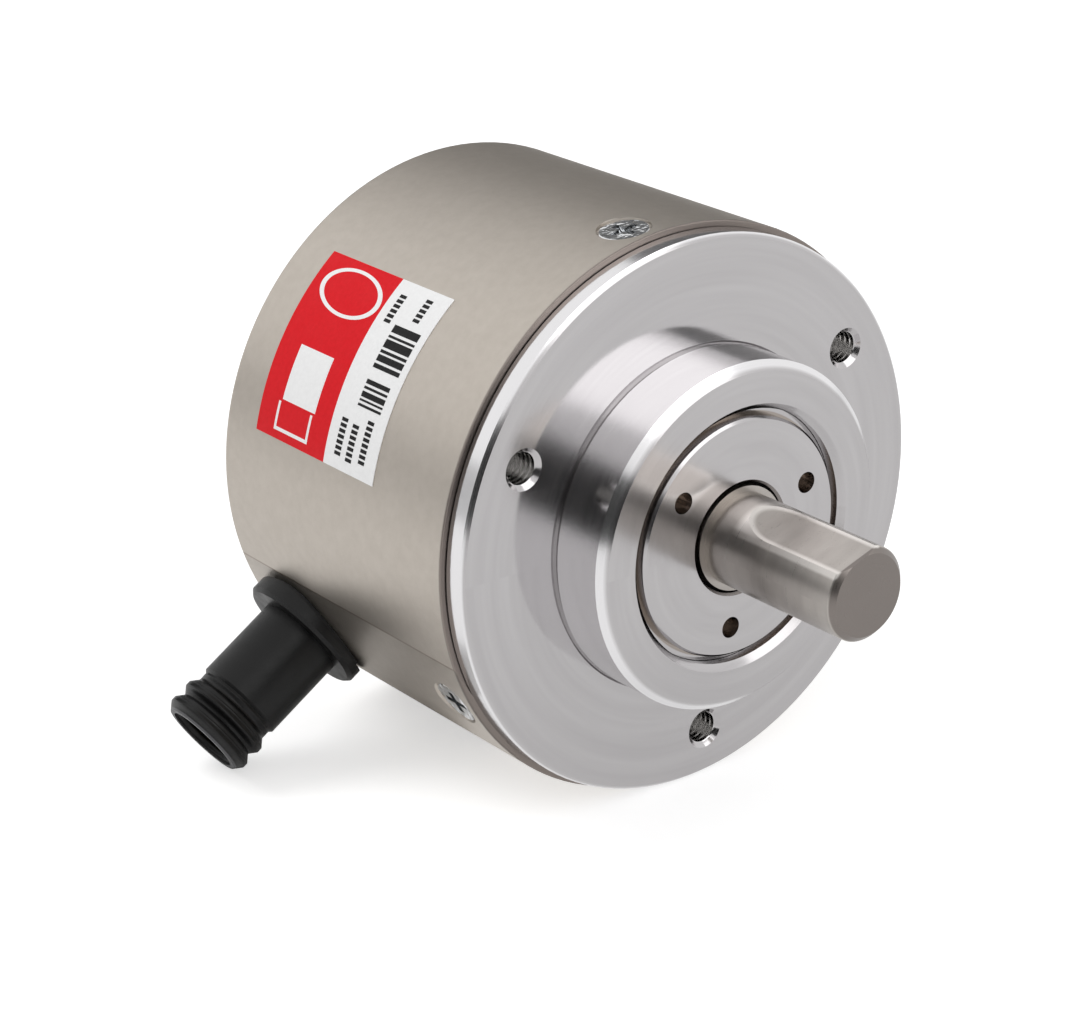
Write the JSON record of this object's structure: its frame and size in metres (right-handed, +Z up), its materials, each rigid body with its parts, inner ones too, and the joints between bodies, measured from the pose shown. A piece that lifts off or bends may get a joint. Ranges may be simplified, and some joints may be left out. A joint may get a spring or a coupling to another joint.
{
  "type": "incremental rotary encoder",
  "caption": "Shaft rotary encoder with a clamping flange, centring collar, flatted shaft, cup cover and a round side connector.",
  "frame": {"origin": "centre of the mounting face, on the shaft axis", "axes": "+X along the shaft, out of the flange; +Z up with the encoder lying on its side as in the picture"},
  "size_m": [0.0648, 0.0708, 0.0592],
  "materials": {
    "flange_aluminium": "turned",
    "cover_metal": "satin, warm grey",
    "shaft_steel": "ground",
    "bearing_steel": "ground",
    "ball_steel": "polished",
    "cage_brass": "pressed",
    "screw_steel": "zinc plated",
    "spring_steel": "dark spring steel",
    "seal_rubber": "matt",
    "connector_plastic": "moulded",
    "insert_plastic": "moulded",
    "nut_brass": "nickel plated",
    "contact_gold": "gold plated",
    "wire_jacket": "insulated wire",
    "board_laminate": "solder resist",
    "chip_black": "moulded",
    "header_plastic": "moulded",
    "capacitor_can": "drawn can",
    "ceramic_chip": "sintered",
    "hub_aluminium": "turned",
    "disc_metal": "etched sheet",
    "clear_optics": "clear"
  },
  "bodies": {
    "housing": {"flange": "flange_aluminium", "bearing_retainer": "flange_aluminium", "shaft_seal": "seal_rubber", "front_bearing_outer_ring": "bearing_steel", "front_bearing_shields": "bearing_steel", "rear_bearing_outer_ring": "bearing_steel", "rear_bearing_shields": "bearing_steel", "outer_spacer": "hub_aluminium", "preload_washer": "spring_steel", "cover": "cover_metal", "cover_o_ring": "seal_rubber", "cover_screws": "screw_steel", "connector_shell": "connector_plastic", "connector_gasket": "seal_rubber", "connector_nut": "nut_brass", "connector_insert": "insert_plastic", "connector_pins": "contact_gold", "connector_wires": "wire_jacket", "main_board": "board_laminate", "board_posts": "nut_brass", "board_screws": "screw_steel", "lamp_holder": "insert_plastic", "lamp_screws": "screw_steel", "led": "clear_optics", "lens": "clear_optics", "sensor_carrier": "board_laminate", "sensor_chip": "chip_black", "reticle": "clear_optics", "wire_header": "header_plastic", "driver_chips": "chip_black", "capacitors": "capacitor_can", "chip_resistors": "ceramic_chip"},
    "rotor": {"shaft": "shaft_steel", "front_bearing_inner_ring": "bearing_steel", "rear_bearing_inner_ring": "bearing_steel", "inner_spacer": "hub_aluminium", "shaft_circlip": "spring_steel", "disc_hub": "hub_aluminium", "hub_grub_screws": "spring_steel", "code_disc": "disc_metal", "disc_clamp_ring": "hub_aluminium", "disc_clamp_screws": "screw_steel"},
    "front_ball_set": {"front_bearing_balls": "ball_steel", "front_bearing_cage": "cage_brass"},
    "rear_ball_set": {"rear_bearing_balls": "ball_steel", "rear_bearing_cage": "cage_brass"}
  },
  "joints": [
    {"name": "shaft_spin", "type": "hinge", "parent": "housing", "child": "rotor", "pos_m": [0, 0, 0], "axis": [1, 0, 0], "continuous": true},
    {"name": "front_balls_roll", "type": "hinge", "parent": "housing", "child": "front_ball_set", "pos_m": [0, 0, 0], "axis": [1, 0, 0], "continuous": true},
    {"name": "rear_balls_roll", "type": "hinge", "parent": "housing", "child": "rear_ball_set", "pos_m": [0, 0, 0], "axis": [1, 0, 0], "continuous": true}
  ],
  "couplings": [
    {"joint": "front_balls_roll", "follows": "shaft_spin", "ratio": 0.36778},
    {"joint": "rear_balls_roll", "follows": "shaft_spin", "ratio": 0.36778}
  ]
}
